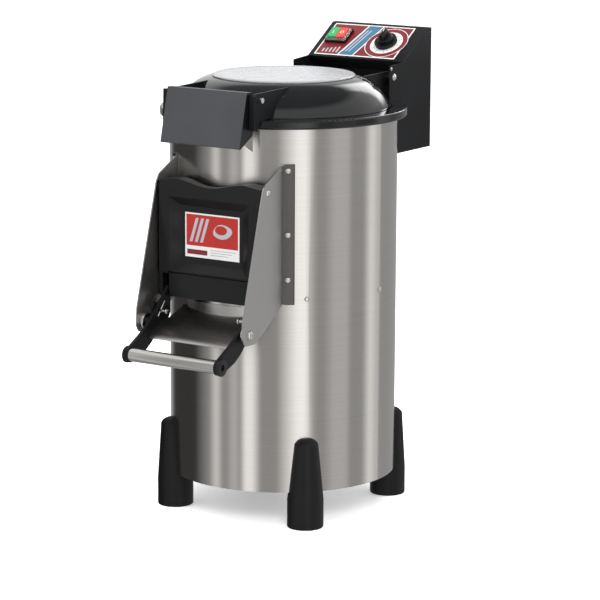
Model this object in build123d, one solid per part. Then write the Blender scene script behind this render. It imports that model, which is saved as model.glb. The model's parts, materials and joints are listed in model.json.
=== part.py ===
from build123d import *
import os
from math import asin, cos, degrees, radians, sin, sqrt

# Electric drum peeler, millimetres. X runs to the machine's right, the front faces -Y, +Z is up.
# The pieces are drawn about the drum's own axis and moved along Y when they are written, so that
# the origin lies on the floor under the middle of the machine's bounding box.

# ---- driving dimensions: the machine ----
machine_depth = 820.0
machine_height = 990.0
ring_radius = 260.0

# ---- drum ----
drum_radius = 240.0
drum_wall = 2.0
drum_bottom = 75.0
drum_top = 834.0
liner_outer = 228.0
liner_inner = 222.0
floor_top = 484.0
floor_thickness = 8.0
opening_half = 88.0
opening_low = 489.0
opening_high = 703.0
throat_wall = 3.0

# ---- drive ----
disc_radius = 212.0
disc_low = 494.0
disc_thickness = 12.0
shaft_radius = 12.5
bearing_radius = 26.0
running_gap = 0.05
pulley_low = 335.0
pulley_height = 20.0
driven_radius = 100.0
drive_radius = 30.0
motor_offset = 150.0
motor_radius = 68.0
motor_shaft_radius = 9.5

# ---- feet ----
foot_centre = 165.0
foot_radius = 38.0
foot_tip_radius = 25.0
foot_lean = 4.0                  # how far each foot's tip stands out from its base
foot_straight = 59.0
foot_shoulder = 178.0
foot_height = 190.0
foot_bolt_place = 152.0

# ---- top ring and lid ----
ring_low = drum_top
ring_high = 852.0
ring_seat = 846.0
ring_opening = 214.0
lid_seat = 850.0
lid_base_radius = 221.0
lid_flange_radius = 226.0
lid_wall = 4.0
window_radius = 150.0
window_seat = 914.5
window_thickness = 4.5
lid_hinge_y = 246.0
lid_hinge_z = 895.0
hinge_pin_radius = 5.0

# ---- lid brackets and latch flap ----
bracket_inner = 99.0
bracket_outer = 103.0
bracket_flange = 9.0
flap_half = 97.0
flap_sheet = 3.0
flap_pin_y = -250.0
flap_pin_z = 895.0
flap_pin_radius = 4.0
bracket_bolt_place = (-268.0, 860.0)

# ---- cheeks, door and lever ----
cheek_inner = 129.5
cheek_outer = 132.5
cheek_flange = 18.0
door_half = 127.0
door_front = -278.0
door_low = 476.5
door_hinge_y = -256.0
door_hinge_z = 710.0
lever_inner = 106.5
lever_outer = 113.5
lever_pivot_y = -324.0
lever_pivot_z = 430.0
lever_pivot_radius = 5.0
pivot_cover = 2.0                # metal left on each arm's inner face over its pivot bolt
boss_radius = 18.0
boss_inner = 120.5
roller_place = (-301.0, 450.0)
roller_radius = 17.0
roller_outer = 120.0
grip_radius = 14.0
grip_wall = 2.0
grip_cap_radius = 17.5
grip_cap_rim = 5.0
cap_screw_radius = 4.0
grip_z = 375.0
slot_inner = lever_inner - 4
slot_outer = lever_outer + 5.5
slot_top = 524.0
tray_half = 104.0

# ---- control box ----
box_half = 123.0
box_sheet = 2.0
box_back = 402.0
box_low = 728.0
box_front = 327.0
slope_top_y = 388.0
lip_y = 285.0
lip_z = 924.0
ear_y = 226.0
ear_top = 920.0
ear_tab = 22.0

grip_y = box_back - machine_depth + grip_cap_radius      # front-most point is the grip's end cap
centre_shift = machine_depth / 2 - box_back


def span(low, high):
    """A box between two corners."""
    size = [b - a for a, b in zip(low, high)]
    middle = [(a + b) / 2 for a, b in zip(low, high)]
    return Pos(*middle) * Box(*size)


def upright(radius, low, high, x=0.0, y=0.0):
    """A vertical cylinder from low to high."""
    return Pos(x, y, (low + high) / 2) * Cylinder(radius, high - low)


def tube(outer, inner, low, high, x=0.0, y=0.0):
    return upright(outer, low, high, x, y) - upright(inner, low - 1, high + 1, x, y)


def across(radius, x_low, x_high, y, z):
    """A cylinder along X."""
    return Pos((x_low + x_high) / 2, y, z) * Rot(0, 90, 0) * Cylinder(radius, x_high - x_low)


def sheet(points, x_low, x_high, corner=0.0):
    """A plate cut to an outline in the YZ plane, from x_low to x_high."""
    outline = Polygon(*points, align=None)
    if corner:
        outline = fillet(outline.vertices(), corner)
    return extrude(Plane.YZ.offset(x_low) * outline, x_high - x_low, dir=(1, 0, 0))


def both_sides(piece):
    """The piece and its mirror image on the other side of the machine."""
    return piece, mirror(piece, about=Plane.YZ)


def turned(*lines):
    """A solid turned about Z from lines drawn as (radius, height) in the XZ plane."""
    return revolve(Plane.XZ * make_face(Curve() + list(lines)), Axis.Z, 360)


def wall_shell(outer, x_low, x_high, z_low, z_high, front=True):
    """A piece of sheet bent to the drum wall, between two X values."""
    side = (-drum_radius - 40, -1) if front else (1, drum_radius + 40)
    window = span((x_low, side[0], z_low), (x_high, side[1], z_high))
    return tube(outer, drum_radius, z_low, z_high) & window


def round_head(radius, height):
    """A low domed screw head standing on the XY plane."""
    ball = (radius ** 2 + height ** 2) / (2 * height)
    return (Pos(0, 0, height - ball) * Sphere(ball)) & (Pos(0, 0, height / 2) * Cylinder(radius, height))


def screw(radius, height, shank_radius, shank_length):
    """A domed head with its shank below the XY plane."""
    return round_head(radius, height) + Pos(0, 0, -shank_length / 2) * Cylinder(shank_radius, shank_length)


def wall_place(angle, z, distance=drum_radius):
    """A frame on the drum wall whose Z axis points outwards; angle is measured from +X."""
    a = radians(angle)
    return Plane(origin=(distance * cos(a), distance * sin(a), z), x_dir=(0, 0, 1), z_dir=(cos(a), sin(a), 0))


# ---- casing ----
def make_outer_drum():
    drum = tube(drum_radius, drum_radius - drum_wall, drum_bottom, drum_top)
    drum -= span((-opening_half, -drum_radius - 5, opening_low), (opening_half, -150, opening_high))
    for angle, z in screw_places:
        drum -= wall_place(angle, z) * Cylinder(screw_shank, 20)
    return drum - wall_place(inlet_angle, inlet_height) * Cylinder(inlet_radius, 30)


def make_base_ring():
    ring = tube(drum_radius - drum_wall, 150, drum_bottom, drum_bottom + 4)
    ring -= upright(drain_radius, drum_bottom - 1, drum_bottom + 5, *drain_place)
    for x in (-foot_bolt_place, foot_bolt_place):
        for y in (-foot_bolt_place, foot_bolt_place):
            ring -= upright(5, drum_bottom - 1, drum_bottom + 5, x, y)
    return ring


def make_foot(x_side, y_side):
    """A straight base, a shaft that narrows and leans outwards, and a domed tip."""
    base = turned(
        Line((0, 0), (foot_radius - 2, 0)),
        Line((foot_radius - 2, 0), (foot_radius, 2)),
        Line((foot_radius, 2), (foot_radius, foot_straight)),
        Line((foot_radius, foot_straight), (0, foot_straight)),
        Line((0, foot_straight), (0, 0)),
    )
    dome_start = (foot_tip_radius, foot_shoulder)
    dome = turned(
        Line((0, foot_shoulder), dome_start),
        ThreePointArc(dome_start, (foot_tip_radius * 0.72, foot_height - 4), (0, foot_height)),
        Line((0, foot_height), (0, foot_shoulder)),
    )
    lean = Pos(foot_lean * x_side, foot_lean * y_side, 0)
    shaft_foot = Pos(0, 0, foot_straight) * Circle(foot_radius)
    shaft_tip = lean * Pos(0, 0, foot_shoulder) * Circle(foot_tip_radius)
    foot = Pos(foot_centre * x_side, foot_centre * y_side, 0) * (base + loft([shaft_foot, shaft_tip]) + lean * dome)
    foot -= upright(drum_radius, drum_bottom, foot_height + 5)
    return foot - upright(5, 35, drum_bottom + 1, foot_bolt_place * x_side, foot_bolt_place * y_side)


def make_foot_bolts():
    solids = []
    for x in (-foot_bolt_place, foot_bolt_place):
        for y in (-foot_bolt_place, foot_bolt_place):
            base = drum_bottom + 4
            head = Pos(x, y, base) * extrude(RegularPolygon(8.5, 6), 6)
            solids.append(head + upright(5, 35, base, x, y))
    return Compound(solids)


# ---- peeling chamber ----
def make_chamber_floor():
    plate = upright(drum_radius - drum_wall, floor_top - floor_thickness, floor_top)
    plate -= upright(40, floor_top - 20, floor_top + 5)
    return plate - upright(drain_radius - 3, floor_top - 20, floor_top + 5, *drain_place)


def make_inner_liner():
    liner = tube(liner_outer, liner_inner, floor_top, drum_top)
    liner -= span((-opening_half, -drum_radius - 5, opening_low), (opening_half, -150, opening_high))
    return liner - wall_place(inlet_angle, inlet_height) * Cylinder(inlet_radius, 80)


def make_discharge_throat():
    half = opening_half - throat_wall
    frame = span((-opening_half, -250, opening_low), (opening_half, -150, opening_high))
    frame -= span((-half, -260, opening_low + throat_wall), (half, -140, opening_high - throat_wall))
    return frame & tube(drum_radius, liner_inner, opening_low, opening_high)


def make_door_seal():
    half = opening_half + 8
    band = tube(drum_radius + 4, drum_radius, opening_low - 6, opening_high + 4)
    window = span((-half, -250, opening_low - 6), (half, -150, opening_high + 4))
    inner = span((-opening_half, -260, opening_low + 3), (opening_half, -140, opening_high - 4))
    return (band & window) - inner


def make_bearing_housing():
    housing = tube(40, bearing_radius, 380, floor_top)
    return housing + tube(66, 39, floor_top - floor_thickness - 8, floor_top - floor_thickness)


def make_shaft_bearings():
    return Compound([tube(bearing_radius, shaft_radius + running_gap, low, low + 15) for low in (384, 452)])


def make_shaft_seal():
    return tube(bearing_radius, shaft_radius + running_gap, 471, 481)


def make_drive_shaft():
    shaft = upright(shaft_radius, pulley_low - 6, disc_low + disc_thickness)
    return shaft + upright(8, disc_low + disc_thickness, disc_low + disc_thickness + 16)


def make_peeling_disc():
    """The abrasive plate: three raised waves on top and two wiping blades under it."""
    disc = upright(disc_radius, disc_low, disc_low + disc_thickness)
    disc += upright(30, disc_low - 7, disc_low)
    top = disc_low + disc_thickness
    for turn in (0, 120, 240):
        wave = Pos(125, 0, top - 16) * Rot(0, 90, 0) * Cylinder(28, 130)
        wave &= span((50, -60, top), (200, 60, top + 30))
        disc += Rot(0, 0, turn) * wave
    for turn in (60, 240):
        disc += Rot(0, 0, turn) * span((28, -3, disc_low - 7), (disc_radius - 6, 3, disc_low))
    return disc - upright(shaft_radius, disc_low - 10, top + 1)


def make_disc_nut():
    top = disc_low + disc_thickness
    nut = upright(22, top, top + 6) + Pos(0, 0, top + 6) * extrude(RegularPolygon(16, 6), 14)
    return nut - upright(8, top - 1, top + 16)


def pulley(radius, groove, bore):
    wheel = upright(radius, pulley_low, pulley_low + pulley_height)
    wheel -= tube(radius + 1, groove, pulley_low + 4.6, pulley_low + pulley_height - 4.6)
    return wheel - upright(bore, pulley_low - 1, pulley_low + pulley_height + 1)


def make_driven_pulley():
    wheel = pulley(driven_radius, driven_radius - 10, shaft_radius)
    for turn in range(0, 360, 60):
        wheel -= Rot(0, 0, turn) * upright(15, pulley_low - 1, pulley_low + pulley_height + 1, 55, 0)
    return wheel


def make_drive_pulley():
    return Pos(0, motor_offset, 0) * pulley(drive_radius, drive_radius - 10, motor_shaft_radius)


def make_drive_belt():
    def loop(growth):
        circles = (Circle(driven_radius - 10 + growth), Pos(0, motor_offset) * Circle(drive_radius - 10 + growth))
        return make_hull(circles[0].edges() + circles[1].edges())
    outline = loop(9) - loop(0.3)
    return Pos(0, 0, pulley_low + 5) * extrude(outline, pulley_height - 10)


def make_motor_housing():
    low, high = 132, pulley_low - 17
    body = upright(motor_radius - 6, low, high, 0, motor_offset)
    for turn in range(0, 360, 18):
        fin = span((0, -1.5, low + 42), (motor_radius, 1.5, high - 10))
        body += Pos(0, motor_offset, 0) * Rot(0, 0, turn) * fin
    body += upright(motor_radius, low, low + 38, 0, motor_offset)
    body += upright(motor_radius, high - 8, high, 0, motor_offset)
    body += span((-24, motor_offset - motor_radius - 22, low + 70), (24, motor_offset - 50, low + 120))
    return body - upright(motor_shaft_radius + running_gap, high - 60, high + 1, 0, motor_offset)


def make_motor_shaft():
    return upright(motor_shaft_radius, pulley_low - 70, pulley_low + pulley_height + 4, 0, motor_offset)


def make_motor_plate():
    plate = span((-90, 90, pulley_low - 17), (90, 210, pulley_low - 11))
    plate -= upright(24, 300, 330, 0, motor_offset)
    for x, y in tie_rod_places:
        plate -= upright(6, 300, 330, x, y)
    return plate


def make_motor_tie_rods():
    low, high = pulley_low - 24, floor_top - floor_thickness
    rods = []
    for x, y in tie_rod_places:
        rod = upright(6, low, high, x, y)
        for base in (low, pulley_low - 11):
            rod += Pos(x, y, base) * extrude(RegularPolygon(9.5, 6), 7)
        rods.append(rod)
    return Compound(rods)


def make_drain_pipe():
    top = floor_top - floor_thickness
    pipe = tube(drain_radius, drain_radius - 3, drain_low, top, *drain_place)
    pipe += tube(drain_radius + 6, drain_radius - 1, drum_bottom - 8, drum_bottom, *drain_place)
    return pipe + tube(drain_radius + 13, drain_radius - 1, top - 6, top, *drain_place)


def make_water_inlet():
    place = wall_place(inlet_angle, inlet_height)
    nipple = place * (Pos(0, 0, 5) * Cylinder(inlet_radius, 50) - Pos(0, 0, 5) * Cylinder(inlet_radius - 2, 60))
    collar = place * Pos(0, 0, 4) * (Cylinder(inlet_radius + 7, 6) - Cylinder(inlet_radius - 1, 8))
    return nipple + collar


# ---- top ring and lid ----
def make_top_ring():
    return turned(
        Line((ring_opening, ring_low), (ring_radius - 4, ring_low)),
        ThreePointArc((ring_radius - 4, ring_low), (ring_radius - 1.2, ring_low + 1.2), (ring_radius, ring_low + 4)),
        Line((ring_radius, ring_low + 4), (ring_radius, ring_high - 3)),
        ThreePointArc((ring_radius, ring_high - 3), (ring_radius - 0.9, ring_high - 0.9), (ring_radius - 3, ring_high)),
        Line((ring_radius - 3, ring_high), (lid_flange_radius + 2, ring_high)),
        Line((lid_flange_radius + 2, ring_high), (lid_flange_radius + 2, ring_seat)),
        Line((lid_flange_radius + 2, ring_seat), (ring_opening, ring_seat)),
        Line((ring_opening, ring_seat), (ring_opening, ring_low)),
    )


def dome_solid():
    """The dome's outside as a full solid, for trimming what meets it."""
    return turned(
        Line((0, lid_seat), (lid_flange_radius, lid_seat)),
        Line((lid_flange_radius, lid_seat), (lid_flange_radius, lid_seat + 3)),
        Line((lid_flange_radius, lid_seat + 3), (lid_base_radius, lid_seat + 3)),
        ThreePointArc((lid_base_radius, lid_seat + 3), (202, 887), (window_radius + 3, window_seat)),
        Line((window_radius + 3, window_seat), (0, window_seat)),
        Line((0, window_seat), (0, lid_seat)),
    )


def make_lid_dome():
    inner_base = lid_base_radius - lid_wall
    hollow = turned(
        Line((0, lid_seat - 1), (inner_base, lid_seat - 1)),
        Line((inner_base, lid_seat - 1), (inner_base, lid_seat + 3)),
        ThreePointArc((inner_base, lid_seat + 3), (198.5, 884), (window_radius - 4, window_seat - lid_wall)),
        Line((window_radius - 4, window_seat - lid_wall), (0, window_seat - lid_wall)),
        Line((0, window_seat - lid_wall), (0, lid_seat - 1)),
    )
    return dome_solid() - hollow - upright(window_radius - 12, 900, 930)


def make_lid_window():
    low, high = window_seat, window_seat + window_thickness
    pane = turned(
        Line((0, low), (window_radius - 1, low)),
        Line((window_radius - 1, low), (window_radius, low + 1)),
        Line((window_radius, low + 1), (window_radius, high - 2)),
        ThreePointArc((window_radius, high - 2), (window_radius - 1.2, high - 0.6), (window_radius - 3, high)),
        Line((window_radius - 3, high), (window_radius - 9, high)),
        Line((window_radius - 9, high), (window_radius - 12, high - 1)),
        Line((window_radius - 12, high - 1), (0, high - 1)),
        Line((0, high - 1), (0, low)),
    )
    return pane


def make_lid_gasket():
    return tube(lid_base_radius + 3, lid_base_radius - 5, ring_seat + 0.3, lid_seat)


def make_lid_brackets():
    """Plates on the front of the dome that carry the latch flap, their front edges folded out."""
    clear = ring_high + 1.5
    outline = [(-112, 911), (-277, 908), (-279, 838), (-256, 832), (-246, 839), (-243, clear), (-190, clear)]
    plate = sheet(outline, bracket_inner, bracket_outer)
    fold = [(-277, 907), (-279, 838), (-275.5, 838), (-273.5, 907)]
    plate += sheet(fold, bracket_inner, bracket_outer + bracket_flange)
    plate -= dome_solid()
    plate -= across(flap_pin_radius, bracket_inner - 1, bracket_outer + 1, flap_pin_y, flap_pin_z)
    right, left = both_sides(plate)
    return Compound([right, left - across(3, -bracket_outer - 1, -bracket_inner + 1, *bracket_bolt_place)])


def make_lid_hinge_arms():
    outline = [(120, 905), (lid_hinge_y, lid_hinge_z + 12), (lid_hinge_y, lid_hinge_z - 12), (212, 866), (180, 866)]
    arm = sheet(outline, 104, 109) + across(12, 104, 109, lid_hinge_y, lid_hinge_z)
    arm -= dome_solid()
    arm -= across(hinge_pin_radius + running_gap, 100, 115, lid_hinge_y, lid_hinge_z)
    return Compound(list(both_sides(arm)))


def make_lid_hinge_pins():
    pin = across(hinge_pin_radius, 101, box_half, lid_hinge_y, lid_hinge_z)
    pin += across(7, 109.4, box_half - box_sheet, lid_hinge_y, lid_hinge_z)
    pin += Pos(box_half, lid_hinge_y, lid_hinge_z) * Rot(0, 90, 0) * round_head(7.5, 4)
    return Compound(list(both_sides(pin)))


def make_flap_pin():
    pin = across(flap_pin_radius, -bracket_outer - 8, bracket_outer + 9, flap_pin_y, flap_pin_z)
    pin += across(5.5, bracket_outer, bracket_outer + 10.5, flap_pin_y, flap_pin_z)
    return pin + Pos(-bracket_outer, flap_pin_y, flap_pin_z) * Rot(0, -90, 0) * extrude(RegularPolygon(7.5, 6), 7)


def make_bracket_bolt():
    y, z = bracket_bolt_place
    bolt = across(3, -bracket_outer - 11, -bracket_inner, y, z)
    bolt += Pos(-bracket_outer, y, z) * Rot(0, -90, 0) * extrude(RegularPolygon(6, 6), 5)
    return bolt


def make_latch_flap():
    """A pan-shaped flap: a sloping face with flanges on all four edges, hung on the pin at its top."""
    sides = [(-282, 913), (-264, 912), (-242, 903), (-241, 888), (-258, 852), (-262, 824), (-310, 799)]
    outer = sheet(sides, -flap_half, flap_half)
    inner = [(-278, 909.5), (-230, 909.5), (-230, 803), (-306, 803)]
    pan = outer - sheet(inner, -flap_half + flap_sheet, flap_half - flap_sheet)
    rear_cut = span((-flap_half + flap_sheet, -262, 780), (flap_half - flap_sheet, -200, 930))
    pan -= rear_cut
    pan = fillet(pan.edges().filter_by(Axis.X).group_by(Axis.Y)[0], 2.5)
    return pan - across(flap_pin_radius + running_gap, -flap_half - 1, flap_half + 1, flap_pin_y, flap_pin_z)


def make_catch_plates():
    x_out = flap_half - flap_sheet
    plate = sheet([(-292, 834), (-257, 834), (-256, 791), (-290, 810)], x_out - 2, x_out)
    return Compound(list(both_sides(plate)))


# ---- cheeks ----
cheek_outline = [(-190, 766), (-240, 743), (-268, 729), (-277, 715), (-348, 460), (-350, 424), (-341, 409),
                 (-303, 409), (-268, 430), (-190, 483)]


def make_cheeks():
    """Side plates for the door and lever, each with a flange bent to the drum's wall."""
    plate = sheet(cheek_outline, cheek_inner, cheek_outer)
    plate = fillet(plate.edges().filter_by(Axis.X).group_by(Axis.Y)[0], 8)
    plate = fillet(plate.edges().filter_by(Axis.X).group_by(Axis.Z)[0], 12)
    plate -= upright(drum_radius, 300, 900)
    plate += wall_shell(drum_radius + 3, cheek_inner, cheek_outer + cheek_flange, 472, 762)
    plate -= across(hinge_pin_radius, 120, 140, door_hinge_y, door_hinge_z)
    plate -= across(lever_pivot_radius, 120, 140, lever_pivot_y, lever_pivot_z)
    for angle, z in cheek_screw_places:
        plate -= wall_place(angle, z) * Cylinder(screw_shank, 20)
    return Compound(list(both_sides(plate)))


def make_door_hinge_pins():
    pin = across(hinge_pin_radius, 104, cheek_outer, door_hinge_y, door_hinge_z)
    pin += across(9, door_half + 0.4, cheek_inner, door_hinge_y, door_hinge_z)
    pin += Pos(cheek_outer, door_hinge_y, door_hinge_z) * Rot(0, 90, 0) * round_head(7.5, 4)
    return Compound(list(both_sides(pin)))


def make_lever_pivot_bolts():
    """A bolt with a domed head outside each cheek, then a boss and a bush inside it; its end lies in the arm."""
    place = (lever_pivot_y, lever_pivot_z)
    bolt = across(lever_pivot_radius, lever_inner + pivot_cover, cheek_outer, *place)
    bolt += across(boss_radius, boss_inner, cheek_inner, *place)
    bolt += across(9, lever_outer + 0.4, boss_inner, *place)
    bolt += Pos(cheek_outer, *place) * Rot(0, 90, 0) * round_head(10, 6)
    return Compound(list(both_sides(bolt)))


# ---- door ----
def door_top_edge():
    """The wavy top: level ends, a shoulder on each side and a dip in the middle."""
    ends = [(-door_half, 718), (-82, 724), (0, 711), (82, 724), (door_half, 718)]
    return Spline(*ends, tangents=[(1, 0.1), (1, -0.1)])


def make_door_panel():
    top = door_top_edge()
    outline = make_face(Curve() + [
        top,
        Line((door_half, 718), (door_half, door_low)),
        Line((door_half, door_low), (-door_half, door_low)),
        Line((-door_half, door_low), (-door_half, 718)),
    ])
    block = extrude(Plane.XZ.offset(-door_front) * outline, 90, dir=(0, 1, 0))
    block = fillet(block.edges().filter_by(Axis.Z).group_by(Axis.Y)[0], 6)
    block -= upright(drum_radius + 4.5, 400, 800)
    block -= upright(drum_radius + 18, 690, 800)
    rim = [(-101, 686), (101, 686), (95, 533), (-95, 533)]
    floor = [(-76, 668), (76, 668), (73, 548), (-73, 548)]
    front_face = Plane.XZ.offset(-door_front) * Polygon(*rim, align=None)
    back_face = Plane.XZ.offset(-door_front - 14) * Polygon(*floor, align=None)
    block -= loft([front_face, back_face], ruled=True)
    block -= span((-door_half - 1, door_front - 1, door_low - 1), (door_half + 1, door_front + 5, 526))
    block -= span((-slot_inner, door_front - 1, 526), (slot_inner, door_front + 9, 530))
    for low, high in ((slot_inner, slot_outer), (-slot_outer, -slot_inner)):
        block -= span((low, door_front - 1, door_low - 1), (high, -200, slot_top))
    block -= span((-84, -252, 500), (84, -235, 682)) & tube(drum_radius + 12, drum_radius, 500, 682)
    for low, high in ((100, door_half + 1), (-door_half - 1, -100)):
        block -= across(hinge_pin_radius + running_gap, low, high, door_hinge_y, door_hinge_z)
    return block


def make_door_label():
    face = door_front + 14
    return span((-67, face - 0.8, 563), (67, face, 655))


# ---- discharge tray ----
def make_tray():
    """A sloping sheet from the drum's wall, its front edge bent further down."""
    section = [(-332, 409.4), (-200, 457), (-200, 455), (-331.3, 407.6), (-340.9, 398.8), (-342.3, 400.3)]
    plate = sheet(section, -tray_half, tray_half) - upright(drum_radius, 300, 600)
    return plate + wall_shell(drum_radius + 2, -tray_half + 14, tray_half - 14, 440, 464)


# ---- lever ----
arm_outline = [(-411, 388), (-371, 409), (-352, 420), (-333, 435), (-306, 459), (-282, 482), (-267, 499),
               (-260, 494), (-263, 470), (-263, 441), (-271, 427), (-295, 414), (-312, 405), (-329, 389), (-349, 376),
               (-390, 361)]


def make_lever_arms():
    low, high = lever_inner - 1, lever_outer + 1
    arm = sheet(arm_outline, lever_inner, lever_outer, 3)
    arm += across(grip_cap_radius - 1, lever_inner, lever_outer, grip_y, grip_z)
    pivot_end = lever_inner + pivot_cover - 0.3
    arm -= across(lever_pivot_radius + running_gap, pivot_end, high, lever_pivot_y, lever_pivot_z)
    arm -= across(cap_screw_radius, low, high, grip_y, grip_z) + across(lever_pivot_radius, low, high, *roller_place)
    return Compound(list(both_sides(arm)))


def make_arm_rollers():
    roller = across(roller_radius, lever_outer + 0.5, roller_outer, *roller_place)
    roller = chamfer(roller.edges().group_by(Axis.X)[-1], 1.5)
    roller -= across(lever_pivot_radius, lever_outer, roller_outer + 1, *roller_place)
    return Compound(list(both_sides(roller)))


def make_roller_bolts():
    """Each roller's bolt: a neck and a knob stand out inside the arm, where a pin crosses the neck."""
    y, z = roller_place
    knob_end = lever_inner - 20
    bolt = across(lever_pivot_radius, lever_inner, roller_outer, y, z)
    bolt += across(3.2, knob_end + 3, lever_inner, y, z)
    bolt += Pos(knob_end + 6, y, z) * Rot(0, -90, 0) * round_head(5.5, 6)
    bolt += Pos(roller_outer, y, z) * Rot(0, 90, 0) * round_head(8, 4)
    pin = Plane(origin=(lever_inner - 1.9, y, z), z_dir=(0, 15, 19))      # clear of the door's slot
    bolt += pin * Pos(0, 0, 5) * Cylinder(1.6, 38)
    return Compound(list(both_sides(bolt)))


def make_handle_tube():
    half = lever_inner
    bore = across(grip_radius - grip_wall, -half - 1, half + 1, grip_y, grip_z)
    return across(grip_radius, -half, half, grip_y, grip_z) - bore


def make_handle_caps():
    """End plugs: a rim outside each arm, a screw through the arm and a plug that fills the tube's end."""
    plug_end = lever_inner - 20
    cap = across(grip_cap_radius, lever_outer, lever_outer + grip_cap_rim, grip_y, grip_z)
    cap += across(cap_screw_radius, plug_end, lever_outer + 1, grip_y, grip_z)
    cap += across(grip_radius - grip_wall, plug_end, lever_inner, grip_y, grip_z)
    return Compound(list(both_sides(cap)))


# ---- control box ----
rise = machine_height - lip_z
run_back = slope_top_y - lip_y
slope_length = sqrt(rise ** 2 + run_back ** 2)
slope_normal = (0, -rise / slope_length, run_back / slope_length)
panel_middle = (0, (lip_y + slope_top_y) / 2, (lip_z + machine_height) / 2)
panel = Plane(origin=panel_middle, x_dir=(1, 0, 0), z_dir=slope_normal)
overlay_size = (205.0, 110.0, 0.8)
overlay_shift = -8.0
switch_x = -77.0
switch_y = 8.0
switch_size = (54.0, 44.0)
timer_x = 49.0
timer_y = -2.0
timer_neck_radius = 5.0
timer_spindle_radius = 3.0
knob_radius = 25.0


lip_fold = (lip_y + 3, lip_z - 6)
front_fold = (box_front, 897)


def make_control_box():
    """The folded middle sheet: floor, front wall, lip, sloping panel and a short level top."""
    reach = box_half - box_sheet
    outline = [(box_front, box_low), (box_back, box_low), (box_back, machine_height), (slope_top_y, machine_height),
               (lip_y, lip_z), lip_fold, front_fold]
    ceiling = machine_height - box_sheet
    up_to_ceiling = (ceiling - panel_middle[2] + box_sheet * slope_normal[2]) * slope_length / rise
    under_slope = [panel.from_local_coords((0, up, -box_sheet)) for up in (up_to_ceiling, -0.47 * slope_length)]
    inset = [(box_front + box_sheet, box_low + box_sheet), (box_back + 5, box_low + box_sheet), (box_back + 5, ceiling)]
    inset += [(point.Y, point.Z) for point in under_slope]
    inset += [(box_front + box_sheet, front_fold[1] + 2)]
    case = sheet(outline, -reach, reach) - sheet(inset, -box_half, box_half)
    case -= panel * Pos(switch_x, switch_y, 0) * Box(switch_size[0] - 6, switch_size[1] - 6, 20)
    case -= panel * Pos(timer_x, timer_y, 0) * Cylinder(timer_neck_radius, 20)
    return case - upright(gland_radius, box_low - 1, box_low + 5, *gland_place)


def make_box_sides():
    """Two flat side plates that run forward to the drum, each with a tab bent to the drum's wall."""
    reach = box_half - box_sheet
    above_ring = ring_high + 1
    outline = [(195, box_low), (box_back, box_low), (box_back, machine_height), (slope_top_y, machine_height),
               (lip_y, lip_z), (ear_y, ear_top), (ear_y, above_ring), (ear_y + 5, above_ring), (ear_y + 5, drum_top),
               (195, drum_top)]
    plate = sheet(outline, reach, box_half) - upright(drum_radius, box_low - 1, drum_top + 1)
    plate -= across(hinge_pin_radius, reach - 1, box_half + 1, lid_hinge_y, lid_hinge_z)
    plate += wall_shell(drum_radius + 2, box_half - ear_tab, box_half - 1, box_low + 6, drum_top - 6, front=False)
    return Compound(list(both_sides(plate)))


def make_box_back_cover():
    reach = box_half - box_sheet
    return span((-reach, box_back - 2, box_low + box_sheet), (reach, box_back, machine_height - box_sheet))


def make_panel_overlay():
    plate = panel * Pos(overlay_shift, 0, overlay_size[2] / 2) * Box(*overlay_size)
    plate -= panel * Pos(switch_x, switch_y, 0) * Box(switch_size[0] - 6, switch_size[1] - 6, 20)
    return plate - panel * Pos(timer_x, timer_y, 0) * Cylinder(timer_neck_radius, 20)


def make_switch_base():
    width, height = switch_size
    base = panel * Pos(switch_x, switch_y, overlay_size[2] + 3) * Box(width, height, 6)
    base += panel * Pos(switch_x, switch_y, -16) * Box(width - 6, height - 6, 38)
    return base - panel * Pos(switch_x, switch_y, 2) * Box(width - 10, height - 10, 32)


def make_switch_bezel():
    width, height = switch_size
    low = overlay_size[2] + 6
    frame = Pos(switch_x, switch_y, low + 2.5) * (Box(width - 4, height - 4, 5) - Box(width - 10, height - 10, 8))
    return panel * frame


def make_push_button(side):
    width, height = switch_size
    each = (width - 10) / 2 - 0.8
    button = Box(each, height - 11.5, 16)
    button = fillet(button.edges().group_by(Axis.Z)[-1], 1.2)
    return panel * Pos(switch_x + side * (each / 2 + 0.4), switch_y, overlay_size[2] + 6) * button


def make_timer_unit():
    body = Pos(timer_x, timer_y, -box_sheet - 20) * Box(52, 52, 38)
    neck = Pos(timer_x, timer_y, -box_sheet - 0.5) * Cylinder(timer_neck_radius, 3)
    return panel * (body + neck - Pos(timer_x, timer_y, 0) * Cylinder(timer_spindle_radius + running_gap, 60))


def make_timer_knob():
    """A skirted knob with a raised pointer grip, on the timer's spindle."""
    base = overlay_size[2] + 1
    knob = Pos(0, 0, base + 4) * Cylinder(knob_radius, 8) + Pos(0, 0, base + 12) * Cone(19, 17, 8)
    grip = Pos(0, 0, base + 19) * Box(11, 32, 22)
    grip = fillet(grip.edges().filter_by(Axis.Z), 4)
    spindle = Pos(0, 0, -9) * Cylinder(timer_spindle_radius, 2 * base + 20)
    return panel * Pos(timer_x, timer_y, 0) * (knob + grip + spindle)


def make_cable_gland():
    x, y = gland_place
    gland = upright(gland_radius, box_low - 24, box_low + 12, x, y)
    gland += Pos(x, y, box_low - 8) * extrude(RegularPolygon(gland_radius + 5, 6), 8)
    gland += Pos(x, y, box_low + box_sheet) * extrude(RegularPolygon(gland_radius + 5, 6), 6)
    return gland - upright(gland_radius - 4, box_low - 30, box_low + 20, x, y)


# ---- screws ----
def make_casing_screws():
    solids = [wall_place(angle, z) * screw(5.5, 3.5, screw_shank, drum_wall) for angle, z in screw_places]
    on_flange = [(a, z) for a, z in cheek_screw_places] + [(180 - a, z) for a, z in cheek_screw_places]
    for angle, z in on_flange:
        solids.append(wall_place(angle, z, drum_radius + 3) * screw(6.5, 4.5, screw_shank, 3))
    for side in (-1, 1):
        ear_screw = Pos(side * box_half, ear_y + 6, ear_top - 6) * Rot(0, side * 90, 0) * round_head(4, 2.5)
        solids.append(ear_screw)
    return Compound(solids)


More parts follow.
